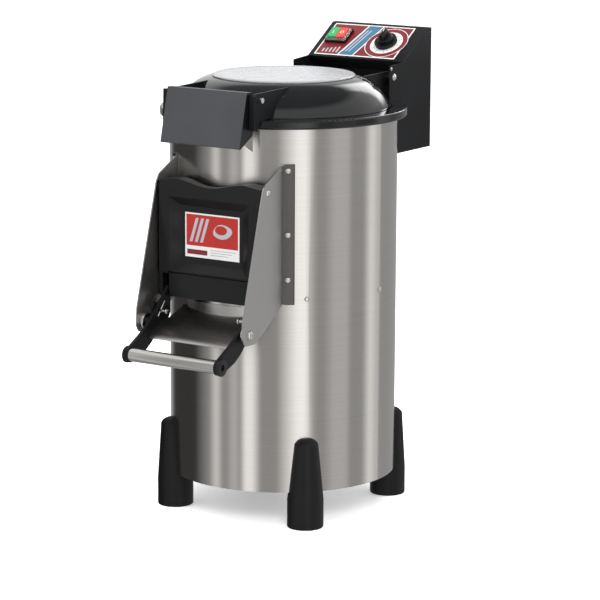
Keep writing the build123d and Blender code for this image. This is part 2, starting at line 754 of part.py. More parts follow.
# ---- places used above ----
screw_shank = 3.0
screw_places = [(angle, floor_top - 1) for angle in (0, 45, 90, 135, 180, 225, 315)]
flange_angle = -90 + degrees(asin((cheek_outer + 7.4) / (drum_radius + 1.5)))
cheek_screw_places = [(flange_angle, z) for z in (749, 617, 524)]
drain_radius = 25.0
drain_low = 40.0
drain_place = (-165.0, 60.0)
tie_rod_places = [(x, y) for x in (-76, 76) for y in (104, 196)]
inlet_angle = 128
inlet_height = 790.0
inlet_radius = 9.0
gland_radius = 11.0
gland_place = (0.0, 362.0)

nodes = {
    "outer_drum": make_outer_drum(),
    "base_ring": make_base_ring(),
    "foot_front_left": make_foot(-1, -1),
    "foot_front_right": make_foot(1, -1),
    "foot_rear_left": make_foot(-1, 1),
    "foot_rear_right": make_foot(1, 1),
    "foot_bolts": make_foot_bolts(),
    "chamber_floor": make_chamber_floor(),
    "inner_liner": make_inner_liner(),
    "discharge_throat": make_discharge_throat(),
    "door_seal": make_door_seal(),
    "bearing_housing": make_bearing_housing(),
    "shaft_bearings": make_shaft_bearings(),
    "shaft_seal": make_shaft_seal(),
    "drive_shaft": make_drive_shaft(),
    "peeling_disc": make_peeling_disc(),
    "disc_nut": make_disc_nut(),
    "driven_pulley": make_driven_pulley(),
    "drive_pulley": make_drive_pulley(),
    "motor_shaft": make_motor_shaft(),
    "drive_belt": make_drive_belt(),
    "motor_housing": make_motor_housing(),
    "motor_plate": make_motor_plate(),
    "motor_tie_rods": make_motor_tie_rods(),
    "drain_pipe": make_drain_pipe(),
    "water_inlet": make_water_inlet(),
    "top_ring": make_top_ring(),
    "lid_dome": make_lid_dome(),
    "lid_window": make_lid_window(),
    "lid_gasket": make_lid_gasket(),
    "lid_brackets": make_lid_brackets(),
    "lid_hinge_arms": make_lid_hinge_arms(),
    "lid_hinge_pins": make_lid_hinge_pins(),
    "flap_pin": make_flap_pin(),
    "bracket_bolt": make_bracket_bolt(),
    "latch_flap": make_latch_flap(),
    "catch_plates": make_catch_plates(),
    "cheeks": make_cheeks(),
    "door_hinge_pins": make_door_hinge_pins(),
    "lever_pivot_bolts": make_lever_pivot_bolts(),
    "door_panel": make_door_panel(),
    "door_label": make_door_label(),
    "discharge_tray": make_tray(),
    "lever_arms": make_lever_arms(),
    "arm_rollers": make_arm_rollers(),
    "roller_bolts": make_roller_bolts(),
    "handle_tube": make_handle_tube(),
    "handle_caps": make_handle_caps(),
    "control_box": make_control_box(),
    "box_sides": make_box_sides(),
    "box_back_cover": make_box_back_cover(),
    "panel_overlay": make_panel_overlay(),
    "switch_base": make_switch_base(),
    "switch_bezel": make_switch_bezel(),
    "start_button": make_push_button(-1),
    "stop_button": make_push_button(1),
    "timer_unit": make_timer_unit(),
    "timer_knob": make_timer_knob(),
    "cable_gland": make_cable_gland(),
    "casing_screws": make_casing_screws(),
}

os.makedirs("parts", exist_ok=True)
for name, piece in nodes.items():
    export_step(Pos(0, centre_shift, 0) * piece, f"parts/{name}.step")
print(len(nodes), "nodes; the drum axis is at Y =", round(centre_shift, 2))
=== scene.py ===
import bpy
import json
from math import asin, cos, degrees, pi, radians, sin
from mathutils import Matrix, Vector

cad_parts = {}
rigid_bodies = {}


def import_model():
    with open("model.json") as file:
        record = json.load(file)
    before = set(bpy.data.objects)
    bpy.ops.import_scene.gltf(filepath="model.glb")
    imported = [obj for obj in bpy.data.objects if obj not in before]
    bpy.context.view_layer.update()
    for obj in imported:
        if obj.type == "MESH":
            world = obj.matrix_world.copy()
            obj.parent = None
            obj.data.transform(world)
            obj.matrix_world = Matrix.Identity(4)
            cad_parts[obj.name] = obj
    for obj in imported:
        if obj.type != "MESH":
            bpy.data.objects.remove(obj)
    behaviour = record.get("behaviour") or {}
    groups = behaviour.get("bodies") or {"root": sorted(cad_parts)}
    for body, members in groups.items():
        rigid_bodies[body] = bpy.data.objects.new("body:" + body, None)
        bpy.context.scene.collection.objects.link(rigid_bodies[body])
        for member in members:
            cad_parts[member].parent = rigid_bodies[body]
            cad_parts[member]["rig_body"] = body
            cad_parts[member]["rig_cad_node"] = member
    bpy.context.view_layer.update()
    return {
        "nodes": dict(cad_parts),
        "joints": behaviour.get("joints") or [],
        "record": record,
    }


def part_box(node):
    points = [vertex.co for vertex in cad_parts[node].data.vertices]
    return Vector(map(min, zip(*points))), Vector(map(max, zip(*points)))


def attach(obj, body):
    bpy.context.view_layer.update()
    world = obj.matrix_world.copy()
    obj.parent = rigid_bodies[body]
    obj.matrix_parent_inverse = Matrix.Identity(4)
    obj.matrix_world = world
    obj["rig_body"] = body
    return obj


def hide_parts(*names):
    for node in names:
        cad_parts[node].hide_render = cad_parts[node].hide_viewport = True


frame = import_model()
nodes = frame["nodes"]
mm = 0.001
print("frame loaded with", len(nodes), "nodes")


# camera
view = {
    "place": (3.1735, -4.8438, 1.5928),  # metres
    "turn": 32.83,                       # degrees round from the front, towards the machine's right
    "dip": 11.30,                        # degrees down
    "roll": 0.26,
    "lens": 166.5,                       # on a 36 mm sensor
}


def addCamera():
    bpy.ops.object.camera_add()
    camera = bpy.context.object
    camera.name = "photoCamera"
    camera.data.lens = view["lens"]
    camera.data.sensor_width = 36
    turn = Matrix.Rotation(radians(view["turn"]), 4, "Z")
    dip = Matrix.Rotation(radians(90 - view["dip"]), 4, "X")
    roll = Matrix.Rotation(radians(view["roll"]), 4, "Z")
    camera.matrix_world = Matrix.Translation(view["place"]) @ turn @ dip @ roll
    camera.data.clip_end = 200
    bpy.context.scene.camera = camera
    bpy.context.scene.view_settings.view_transform = "Standard"


# node and colour helpers
def hexColour(code):
    parts = [int(code[start:start + 2], 16) / 255 for start in (1, 3, 5)]
    return [p / 12.92 if p <= 0.04045 else ((p + 0.055) / 1.055) ** 2.4 for p in parts] + [1.0]


def addNode(tree, kind, settings=None, values=None, links=None):
    node = tree.nodes.new("ShaderNode" + kind)
    for name, value in (settings or {}).items():
        setattr(node, name, value)
    for name, value in (values or {}).items():
        node.inputs[name].default_value = value
    for name, source in (links or {}).items():
        tree.links.new(source, node.inputs[name])
    return node


def newMaterial(name, values):
    material = bpy.data.materials.new(name)
    material.use_nodes = True
    shader = material.node_tree.nodes["Principled BSDF"]
    for socket, value in values.items():
        shader.inputs[socket].default_value = value
    return material, material.node_tree, shader


def objectCoords(tree, scale=(1, 1, 1)):
    coords = addNode(tree, "TexCoord")
    return addNode(tree, "Mapping", values={"Scale": scale}, links={"Vector": coords.outputs["Object"]})


def setRamp(ramp, stops):
    elements = ramp.color_ramp.elements
    while len(elements) > 1:
        elements.remove(elements[-1])
    elements[0].position = stops[0][0]
    elements[0].color = stops[0][1]
    for place, colour in stops[1:]:
        elements.new(place).color = colour


def grey(level):
    return (level, level, level, 1)


# studio: pale floor, two softboxes and a tent of cards that only metal and gloss see, in metres
studio = {
    "floorSize": 60.0,
    "floorTone": (0.93, 1.5),    # as the object's light sees it, as the camera sees it
    "floorLift": 0.34,
    "ambient": 0.78,
    "tentRadius": 0.9,
    "tentSpan": (-3.0, 40.0),    # it reaches below the floor, which metal doesn't mirror
    "under": 0.4,                # brightness below the cards
    "cardsFrom": (-0.8, -0.2),   # heights between which one layer turns into the next
    "crownFrom": (0.88, 1.1),
    "ceilingFrom": (1.5, 1.9),
    "ceiling": 0.3,
    "crownCards": [(-180, 1.1), (70, 1.1), (77, 4.6), (95, 4.6), (101, 1.1)],    # degrees, brightness
    "between": 0.38,             # brightness between the cards
    "cards": [                   # degrees from +X: fades in from, full from, full to, gone at; brightness
        (-181, -180, -146, -127, 0.05),
        (-125, -121, -118, -113, 0.85),
        (-108, -103, -99, -95.5, 0.62),
        (-95, -90, -84, -76, 1.25),
        (-62, -43, -37, -27, 1.4),
        (-20, -10, 3, 8, 0.6),
        (22, 31, 34, 50, 0.98),
        (100, 108, 138, 150, 1.0),
        (160, 172, 181, 181, 0.05),
    ],
    "softboxes": {
        "overhead": {"size": 3.0, "place": (0, 0, 3.4), "power": 62},
        "key": {"size": 1.6, "place": (2.6, -3.0, 3.0), "power": 60},
    },
    "aim": (0, 0, 0.5),
}


def addStudio():
    world = bpy.data.worlds.new("studioWorld")
    bpy.context.scene.world = world
    world.use_nodes = True
    tree = world.node_tree
    path = addNode(tree, "LightPath")
    seen = addNode(tree, "Math", {"operation": "MAXIMUM"})
    tree.links.new(path.outputs["Is Camera Ray"], seen.inputs[0])
    tree.links.new(path.outputs["Is Glossy Ray"], seen.inputs[1])
    through = addNode(tree, "Math", {"operation": "MAXIMUM"})
    tree.links.new(seen.outputs[0], through.inputs[0])
    tree.links.new(path.outputs["Is Transmission Ray"], through.inputs[1])
    strength = addNode(tree, "MapRange", values={"To Min": studio["ambient"], "To Max": 1.0},
                       links={"Value": through.outputs[0]})
    background = tree.nodes["Background"]
    background.inputs["Color"].default_value = grey(1)
    tree.links.new(strength.outputs["Result"], background.inputs["Strength"])

    bpy.ops.mesh.primitive_plane_add(size=studio["floorSize"])
    floor = bpy.context.object
    floor.name = "studioFloor"
    material, tree, shader = newMaterial("floorPaper", {
        "Roughness": 0.35, "IOR": 1.12, "Emission Color": grey(1)})
    path = addNode(tree, "LightPath")
    low, high = studio["floorTone"]
    tone = addNode(tree, "MapRange", values={"To Min": low, "To Max": high},
                   links={"Value": path.outputs["Is Camera Ray"]})
    tree.links.new(tone.outputs["Result"], shader.inputs["Base Color"])
    lift = addNode(tree, "Math", {"operation": "MULTIPLY"}, links={0: path.outputs["Is Camera Ray"]})
    lift.inputs[1].default_value = studio["floorLift"]
    tree.links.new(lift.outputs[0], shader.inputs["Emission Strength"])
    floor.data.materials.append(material)
    floor.visible_glossy = False

    bottom, top = studio["tentSpan"]
    middle = (bottom + top) / 2
    bpy.ops.mesh.primitive_cylinder_add(vertices=128, radius=studio["tentRadius"], depth=top - bottom,
                                        end_fill_type="NOTHING", location=(0, 0, middle))
    tent = bpy.context.object
    tent.name = "cardRing"
    for ray in ("camera", "diffuse", "transmission", "shadow", "volume_scatter"):
        setattr(tent, "visible_" + ray, False)
    material = bpy.data.materials.new("cardGlow")
    material.use_nodes = True
    tree = material.node_tree
    coords = addNode(tree, "TexCoord")
    parts = addNode(tree, "SeparateXYZ", links={0: coords.outputs["Object"]})
    angle = addNode(tree, "Math", {"operation": "ARCTAN2"}, links={0: parts.outputs["Y"]})
    tree.links.new(parts.outputs["X"], angle.inputs[1])
    share = addNode(tree, "MapRange", values={"From Min": -pi, "From Max": pi},
                    links={"Value": angle.outputs[0]})
    cards = addNode(tree, "ValToRGB", links={0: share.outputs["Result"]})
    between = studio["between"]
    joinGap = 0.01        # cards that end and start this close, as a share of the turn, share one stop
    stops = []
    for start, fullFrom, fullTo, end, level in studio["cards"]:
        for angleAt, tone in ((start, between), (fullFrom, level), (fullTo, level), (end, between)):
            place = (angleAt + 180) / 360
            joined = bool(stops) and tone == between and place - stops[-1][0] < joinGap
            if 0 <= place <= 1 and not joined:
                stops.append((place, grey(tone)))
    setRamp(cards, stops)
    crown = addNode(tree, "ValToRGB", links={0: share.outputs["Result"]})
    setRamp(crown, [((angleAt + 180) / 360, grey(tone)) for angleAt, tone in studio["crownCards"]])
    under = addNode(tree, "RGB")
    under.outputs[0].default_value = grey(studio["under"])
    ceiling = addNode(tree, "RGB")
    ceiling.outputs[0].default_value = grey(studio["ceiling"])
    blend = under.outputs[0]
    for heights, above in (("cardsFrom", cards), ("crownFrom", crown), ("ceilingFrom", ceiling)):
        low, high = studio[heights]
        rise = addNode(tree, "MapRange", {"interpolation_type": "SMOOTHSTEP"},
                       {"From Min": low - middle, "From Max": high - middle}, {"Value": parts.outputs["Z"]})
        mix = addNode(tree, "Mix", {"data_type": "RGBA"},
                      links={0: rise.outputs["Result"], 6: blend, 7: above.outputs[0]})
        blend = mix.outputs[2]
    glow = addNode(tree, "Emission", links={"Color": blend})
    tree.links.new(glow.outputs[0], tree.nodes["Material Output"].inputs["Surface"])
    tent.data.materials.append(material)

    for name, softbox in studio["softboxes"].items():
        bpy.ops.object.light_add(type="AREA", location=softbox["place"])
        lamp = bpy.context.object
        lamp.name = name + "Softbox"
        lamp.data.size = softbox["size"]
        lamp.data.energy = softbox["power"]
        lamp.visible_camera = False
        lamp.visible_glossy = False
        aim = Vector(studio["aim"]) - Vector(softbox["place"])
        lamp.rotation_euler = aim.to_track_quat("-Z", "Y").to_euler()


# materials
def brushedDrumSteel():
    # stainless sheet polished round the drum: light spreads up and down, so reflections are upright bands
    material, tree, shader = newMaterial("brushedDrumSteel", {"Metallic": 1.0, "Anisotropic": 0.9})
    along = objectCoords(tree, (3, 3, 1400))         # grain about 0.7 mm apart
    grain = addNode(tree, "TexNoise", values={"Scale": 1.0, "Detail": 3.0},
                    links={"Vector": along.outputs[0]})
    tone = addNode(tree, "ValToRGB", links={0: grain.outputs["Fac"]})
    setRamp(tone, [(0.3, hexColour("#cbc7c3")), (0.7, hexColour("#d2cfcb"))])
    rough = addNode(tree, "MapRange", values={"To Min": 0.17, "To Max": 0.21},
                    links={"Value": grain.outputs["Fac"]})
    upright = addNode(tree, "CombineXYZ", values={"Z": 1.0})
    tree.links.new(tone.outputs["Color"], shader.inputs["Base Color"])
    tree.links.new(rough.outputs["Result"], shader.inputs["Roughness"])
    tree.links.new(upright.outputs[0], shader.inputs["Tangent"])
    return material


def satinSteel(name, dark, light, roughness, grainScale):
    # stainless steel with a fine satin grain, drawn out along the scale's smallest axis
    material, tree, shader = newMaterial(name, {"Metallic": 1.0})
    along = objectCoords(tree, grainScale)
    grain = addNode(tree, "TexNoise", values={"Scale": 1.0, "Detail": 3.0},
                    links={"Vector": along.outputs[0]})
    tone = addNode(tree, "ValToRGB", links={0: grain.outputs["Fac"]})
    setRamp(tone, [(0.25, hexColour(dark)), (0.75, hexColour(light))])
    rough = addNode(tree, "MapRange", values={"To Min": roughness - 0.04, "To Max": roughness + 0.04},
                    links={"Value": grain.outputs["Fac"]})
    tree.links.new(tone.outputs["Color"], shader.inputs["Base Color"])
    tree.links.new(rough.outputs["Result"], shader.inputs["Roughness"])
    return material


def brightSteel():
    # machined and polished stainless: near mirror with faint turning marks
    material, tree, shader = newMaterial("brightSteel", {"Metallic": 1.0, "Base Color": hexColour("#d6d4d0")})
    coords = objectCoords(tree, (500, 500, 500))     # marks about 2 mm apart, coarser than real ones to show
    marks = addNode(tree, "TexNoise", values={"Scale": 1.0, "Detail": 2.0},
                    links={"Vector": coords.outputs[0]})
    rough = addNode(tree, "MapRange", values={"To Min": 0.14, "To Max": 0.26},
                    links={"Value": marks.outputs["Fac"]})
    tree.links.new(rough.outputs["Result"], shader.inputs["Roughness"])
    return material


def speckledBlack(name, dark, light, roughness, grainSize, height, ior=1.5):
    # shared by the black finishes: slight tone drift and a fine surface grain, grainSize and height in mm
    material, tree, shader = newMaterial(name, {"IOR": ior})
    coords = objectCoords(tree)
    drift = addNode(tree, "TexNoise", values={"Scale": 9.0, "Detail": 2.0},
                    links={"Vector": coords.outputs[0]})
    tone = addNode(tree, "ValToRGB", links={0: drift.outputs["Fac"]})
    setRamp(tone, [(0.3, hexColour(dark)), (0.7, hexColour(light))])
    grain = addNode(tree, "TexNoise", values={"Scale": 1000 / grainSize, "Detail": 2.0},
                    links={"Vector": coords.outputs[0]})
    rough = addNode(tree, "MapRange", values={"To Min": roughness - 0.05, "To Max": roughness + 0.05},
                    links={"Value": grain.outputs["Fac"]})
    bump = addNode(tree, "Bump", values={"Strength": 0.4, "Distance": height * mm},
                   links={"Height": grain.outputs["Fac"]})
    tree.links.new(tone.outputs["Color"], shader.inputs["Base Color"])
    tree.links.new(rough.outputs["Result"], shader.inputs["Roughness"])
    tree.links.new(bump.outputs["Normal"], shader.inputs["Normal"])
    return material


def clearSheet(name, colour, clarity, roughness):
    # moulded clear plastic: bright at grazing angles, milky where its clarity is low
    material, tree, shader = newMaterial(name, {
        "Base Color": hexColour(colour), "IOR": 1.49, "Transmission Weight": clarity})
    coords = objectCoords(tree)
    haze = addNode(tree, "TexNoise", values={"Scale": 14.0, "Detail": 2.0},
                   links={"Vector": coords.outputs[0]})
    rough = addNode(tree, "MapRange", values={"To Min": roughness * 0.7, "To Max": roughness * 1.3},
                    links={"Value": haze.outputs["Fac"]})
    tree.links.new(rough.outputs["Result"], shader.inputs["Roughness"])
    return material


def gritLining():
    # silicon carbide grit in resin: dark and coarse, about 1.5 mm grains
    material, tree, shader = newMaterial("gritLining", {"Roughness": 0.8})
    coords = objectCoords(tree)
    grit = addNode(tree, "TexVoronoi", values={"Scale": 650.0}, links={"Vector": coords.outputs[0]})
    tone = addNode(tree, "ValToRGB", links={0: grit.outputs["Distance"]})
    setRamp(tone, [(0.0, hexColour("#6d6a66")), (0.6, hexColour("#33302e"))])
    bump = addNode(tree, "Bump", values={"Strength": 0.8, "Distance": 0.8 * mm},
                   links={"Height": grit.outputs["Distance"]})
    tree.links.new(tone.outputs["Color"], shader.inputs["Base Color"])
    tree.links.new(bump.outputs["Normal"], shader.inputs["Normal"])
    return material


def castMetal(name, colour, metallic, roughness):
    # cast surface left as it came from the mould: pebbled at about 2 mm
    material, tree, shader = newMaterial(name, {"Metallic": metallic, "Base Color": hexColour(colour)})
    coords = objectCoords(tree)
    skin = addNode(tree, "TexNoise", values={"Scale": 500.0, "Detail": 3.0},
                   links={"Vector": coords.outputs[0]})
    rough = addNode(tree, "MapRange", values={"To Min": roughness - 0.08, "To Max": roughness + 0.08},
                    links={"Value": skin.outputs["Fac"]})
    bump = addNode(tree, "Bump", values={"Strength": 0.5, "Distance": 0.3 * mm},
                   links={"Height": skin.outputs["Fac"]})
    tree.links.new(rough.outputs["Result"], shader.inputs["Roughness"])
    tree.links.new(bump.outputs["Normal"], shader.inputs["Normal"])
    return material


def ink(name, colour, roughness=0.35):
    # screen-printed ink under a satin film, a little uneven
    material, tree, shader = newMaterial(name, {"IOR": 1.48})
    coords = objectCoords(tree)
    film = addNode(tree, "TexNoise", values={"Scale": 60.0, "Detail": 3.0},
                   links={"Vector": coords.outputs[0]})
    thin = 0.93            # the ink's colour where it lies thin, against its full colour
    shade = [channel * thin for channel in hexColour(colour)[:3]] + [1.0]
    tone = addNode(tree, "ValToRGB", links={0: film.outputs["Fac"]})
    setRamp(tone, [(0.3, shade), (0.7, hexColour(colour))])
    rough = addNode(tree, "MapRange", values={"To Min": roughness - 0.04, "To Max": roughness + 0.06},
                    links={"Value": film.outputs["Fac"]})
    tree.links.new(tone.outputs["Color"], shader.inputs["Base Color"])
    tree.links.new(rough.outputs["Result"], shader.inputs["Roughness"])
    return material


print("studio and materials")
addCamera()
addStudio()
finishes = {
    "drumSteel": brushedDrumSteel(),
    "sheetSteel": satinSteel("satinSheetSteel", "#b0afad", "#b6b5b3", 0.4, (400, 400, 12)),
    # the satin sheet steel made darker for the cheeks' flanges: painted shade, the same steel as the rest of
    # the cheek
    "paintedShadeFlangeSteel": satinSteel("flangeSteelPaintedShade", "#636260", "#6d6b68", 0.46, (400, 400, 12)),
    "traySteel": satinSteel("satinTraySteel", "#c4c2bf", "#cfcdca", 0.3, (12, 400, 400)),
    "tubeSteel": satinSteel("drawnTubeSteel", "#c6c4c0", "#d0cecb", 0.23, (12, 500, 500)),
    "brightSteel": brightSteel(),
    "blackPaint": speckledBlack("blackPowderCoat", "#0f1012", "#141518", 0.42, 1.2, 0.05, 1.3),
    "blackMoulding": speckledBlack("blackMouldedAbs", "#0d0e10", "#121315", 0.36, 0.9, 0.04, 1.4),
    "flapBlack": speckledBlack("charcoalMouldedAbs", "#3a3b3e", "#414246", 0.45, 0.9, 0.04),
    "domeBlack": speckledBlack("blackGlossAbs", "#0f1012", "#141517", 0.07, 6.0, 0.01),
    "rubber": speckledBlack("blackRubber", "#090a0b", "#0e0f11", 0.5, 1.5, 0.06, 1.38),
    "clear": clearSheet("clearAcrylic", "#eef1f3", 0.9, 0.04),
    "window": clearSheet("milkyPolycarbonate", "#d2d4d8", 0.45, 0.26),
    "grit": gritLining(),
    "castAluminium": castMetal("castAluminium", "#9a9b9d", 1.0, 0.5),
    "plainSteel": castMetal("turnedSteel", "#86868a", 1.0, 0.35),
    "castIron": castMetal("castIron", "#3a3a3c", 0.6, 0.65),
    "inkWhite": ink("whiteInk", "#eeeeec"),
    "inkRed": ink("redInk", "#b8271f"),
    "inkDarkRed": ink("darkRedInk", "#7d2228"),
    "inkBlue": ink("steelBlueInk", "#3f7391"),
    "inkSilver": ink("silverInk", "#b9bbc4", 0.3),
    "inkBlack": ink("blackInk", "#1b1b1d"),
    "green": ink("greenPolycarbonate", "#3fae6a", 0.2),
    "red": ink("redPolycarbonate", "#e0503f", 0.2),
}
slotFinish = {
    "stainless_brushed": "sheetSteel", "stainless_bright": "brightSteel", "black_paint": "blackPaint",
    "black_moulding": "blackMoulding", "black_gloss": "domeBlack", "black_rubber": "rubber",
    "clear_plastic": "clear", "abrasive": "grit", "cast_aluminium": "castAluminium",
    "plain_steel": "plainSteel", "cast_iron": "castIron", "label_print": "inkRed",
    "green_button": "green", "red_button": "red",
}
nodeFinish = {"outer_drum": "drumSteel", "latch_flap": "flapBlack", "panel_overlay": "inkWhite",
              "door_label": "inkWhite", "discharge_tray": "traySteel", "handle_tube": "tubeSteel",
              "lid_window": "window"}
nodeSlot = {part["node"]: part["material_slot"] for part in frame["record"]["subparts"]}


def finishOf(name):
    return finishes[nodeFinish.get(name) or slotFinish[nodeSlot[name]]]


for name in nodes:
    for place in nodes[name].material_slots:
        place.material = finishOf(name)


# modelling helpers
def onlySelect(piece):
    bpy.ops.object.select_all(action="DESELECT")
    piece.select_set(True)
    bpy.context.view_layer.objects.active = piece


def applyModifier(piece, kind, **settings):
    onlySelect(piece)
    modifier = piece.modifiers.new(kind.lower(), kind)
    for name, value in settings.items():
        setattr(modifier, name, value)
    bpy.ops.object.modifier_apply(modifier=modifier.name)


def selectFaces(piece, wanted):
    # in edit mode: selects the faces that the test accepts, by centre and normal
    bpy.ops.mesh.select_mode(type="FACE")
    bpy.ops.mesh.select_all(action="DESELECT")
    bpy.ops.object.mode_set(mode="OBJECT")
    for face in piece.data.polygons:
        face.select = wanted(face.center, face.normal)
    bpy.ops.object.mode_set(mode="EDIT")


def joinPieces(parts):
    bpy.ops.object.select_all(action="DESELECT")
    for part in parts:
        part.select_set(True)
    bpy.context.view_layer.objects.active = parts[0]
    bpy.ops.object.join()
    return bpy.context.object


def settle(piece, place=None):
    # moves a piece to its place and leaves the object itself at the origin
    onlySelect(piece)
    if place is not None:
        piece.matrix_world = place @ piece.matrix_world
    bpy.ops.object.transform_apply(location=True, rotation=True, scale=True)
    return piece


def coat(piece, finish):
    piece.data.materials.clear()
    piece.data.materials.append(finishes[finish])
    return piece


def keep(piece, name, body, replaced=(), smooth=32):
    onlySelect(piece)
    bpy.ops.object.shade_smooth_by_angle(angle=radians(smooth))
    piece.name = name
    piece.data.name = name
    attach(piece, body)
    if replaced:
        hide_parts(*replaced)
    return piece


def copyOf(piece):
    twin = piece.copy()
    twin.data = piece.data.copy()
    bpy.context.collection.objects.link(twin)
    return twin


def sideFrame(side, x, y, z):
    # a place on a side plate whose Z axis points out of the machine, side is -1 or 1
    return Matrix.Translation((side * x, y, z)) @ Matrix.Rotation(side * pi / 2, 4, "Y")


bodyOf = {name: nodes[name]["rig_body"] for name in nodes}
drumLow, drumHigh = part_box("outer_drum")
drum = {"y": (drumLow.y + drumHigh.y) / 2, "radius": (drumHigh.x - drumLow.x) / 2}


# sheet metal and mouldings with their edges eased: width in mm
easedEdges = {
    "latch_flap": 2.6, "door_panel": 2.4, "control_box": 1.2, "box_sides": 0.8, "box_back_cover": 0.6,
    "lid_brackets": 0.9, "lid_hinge_arms": 0.9, "cheeks": 0.7, "arm_rollers": 0.6, "lever_arms": 1.4,
    "discharge_tray": 0.4, "switch_base": 1.2, "switch_bezel": 1.0,
    "start_button": 1.0, "stop_button": 1.0, "catch_plates": 0.4, "cable_gland": 0.8, "door_seal": 0.6,
}
easing = {"merge": 0.02, "flat": 0.6, "edge": 35, "smooth": 38}    # merge in mm, the others in degrees


def easedCopy(name, width):
    piece = copyOf(nodes[name])
    piece.parent = None
    del piece["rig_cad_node"]
    onlySelect(piece)
    bpy.ops.mesh.customdata_custom_splitnormals_clear()
    bpy.ops.object.mode_set(mode="EDIT")
    bpy.ops.mesh.select_all(action="SELECT")
    bpy.ops.mesh.remove_doubles(threshold=easing["merge"] * mm)
    bpy.ops.mesh.dissolve_limited(angle_limit=radians(easing["flat"]))
    bpy.ops.object.mode_set(mode="OBJECT")
    applyModifier(piece, "BEVEL", width=width * mm, segments=3, limit_method="ANGLE",
                  angle_limit=radians(easing["edge"]), use_clamp_overlap=True, harden_normals=False)
    keep(piece, name + "_eased", bodyOf[name], (name,), smooth=easing["smooth"])
    applyModifier(piece, "WEIGHTED_NORMAL", keep_sharp=True)
    piece.data.materials.clear()
    piece.data.materials.append(finishOf(name))
    return piece


def recoat(piece, finish, wanted):
    # gives a second material to the faces that the test accepts
    piece.data.materials.append(finishes[finish])
    for face in piece.data.polygons:
        if wanted(face):
            face.material_index = 1


print("eased edges")
eased = {name: easedCopy(name, width) for name, width in easedEdges.items()}
flangeWidth = 17.6        # the cheeks' flanges, bent to the drum's wall, get a darker steel colour: painted shade
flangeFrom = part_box("cheeks")[1].x - flangeWidth * mm
recoat(eased["cheeks"], "paintedShadeFlangeSteel", lambda face: abs(face.center.x) > flangeFrom)
recoat(eased["latch_flap"], "blackMoulding", lambda face: abs(face.normal.x) > 0.9)


# screws: domed heads with a hexagon socket, whose radius is a share of the head's
def domedHead(radius, height, socket):
    bpy.ops.mesh.primitive_cylinder_add(vertices=40, radius=radius * mm, depth=height * mm,
                                        location=(0, 0, height * mm / 2))
    head = bpy.context.object
    bpy.ops.object.transform_apply(location=True)
    bpy.ops.object.mode_set(mode="EDIT")
    selectFaces(head, lambda centre, normal: normal.z > 0.9)
    rounded = height * 0.86
    bpy.ops.mesh.bevel(offset=rounded * mm, segments=6, affect="EDGES", clamp_overlap=True)
    bpy.ops.object.mode_set(mode="OBJECT")
    bpy.ops.mesh.primitive_cylinder_add(vertices=6, radius=radius * socket * mm, depth=height * mm,
                                        location=(0, 0, height * mm))
    cutter = bpy.context.object
    applyModifier(head, "BOOLEAN", operation="DIFFERENCE", object=cutter, solver="EXACT")
    bpy.data.objects.remove(cutter)
    return coat(head, "brightSteel")


# places in mm, angles in degrees from +X; each head is its radius, height and socket
wallScrews = {"angles": (0, 45, 90, 135, 180, 225, 315), "height": 483, "head": (5.5, 3.5, 0.42)}
cheekScrews = {"x": 139.9, "heights": (749, 617, 524), "head": (6.5, 4.5, 0.42), "flange": 3.0}
earScrews = {"y": 240, "z": 914, "head": (4.0, 2.5, 0.4)}


def wallFrame(angle, height, out=0.0):
    a = radians(angle)
    turn = Matrix(((-sin(a), 0, cos(a)), (cos(a), 0, sin(a)), (0, 1, 0))).to_4x4()
    reach = drum["radius"] + out * mm
    return Matrix.Translation((reach * cos(a), drum["y"] + reach * sin(a), height * mm)) @ turn


def addCasingScrews():
    parts = []
    for angle in wallScrews["angles"]:
        parts.append(settle(domedHead(*wallScrews["head"]), wallFrame(angle, wallScrews["height"])))
    flange = cheekScrews["flange"]
    tilt = degrees(asin(cheekScrews["x"] * mm / (drum["radius"] + flange / 2 * mm)))
    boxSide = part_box("box_sides")[1].x
    for side in (-1, 1):
        for height in cheekScrews["heights"]:
            spot = wallFrame(-90 + side * tilt, height, flange)
            parts.append(settle(domedHead(*cheekScrews["head"]), spot))
        spot = sideFrame(side, boxSide, earScrews["y"] * mm, earScrews["z"] * mm)
        parts.append(settle(domedHead(*earScrews["head"]), spot))
    keep(joinPieces(parts), "casingScrewHeads", "machine", ("casing_screws",))


print("screws")
addCasingScrews()


# lever pivots: each is a domed head outside the cheek, then a steel boss and a bush inside it
jointPlace = {joint["name"]: Vector(joint["pos_m"]) for joint in frame["joints"] if "pos_m" in joint}
pivot = {
    "boss": (18, 120.5, 129.5, 1.4),     # radius, from and to along X, eased edge, in mm
    "bush": (9, 113.9, 120.5, 0.8),
    "head": (10, 6, 0.4),                # radius, height, socket
    "headAt": 132.5,
}


def turnedPiece(radius, low, high, ease, finish, sides=56):
    # a round piece along Z with its edges eased
    bpy.ops.mesh.primitive_cylinder_add(vertices=sides, radius=radius * mm, depth=(high - low) * mm,
                                        location=(0, 0, (low + high) / 2 * mm))
    piece = settle(bpy.context.object)
    applyModifier(piece, "BEVEL", width=ease * mm, segments=3, limit_method="ANGLE")
    return coat(piece, finish)


def addPivots():
    place = jointPlace["lever_pivot"]
    steel, bushes = [], []
    for side in (-1, 1):
        across = sideFrame(side, 0, place.y, place.z)
        outside = sideFrame(side, pivot["headAt"] * mm, place.y, place.z)
        steel.append(settle(domedHead(*pivot["head"]), outside))
        steel.append(settle(turnedPiece(*pivot["boss"], "brightSteel"), across))
        bushes.append(settle(turnedPiece(*pivot["bush"], "rubber"), across))
    keep(joinPieces(steel), "pivotBolts", "machine", ("lever_pivot_bolts",))
    keep(joinPieces(bushes), "pivotBushes", "machine")


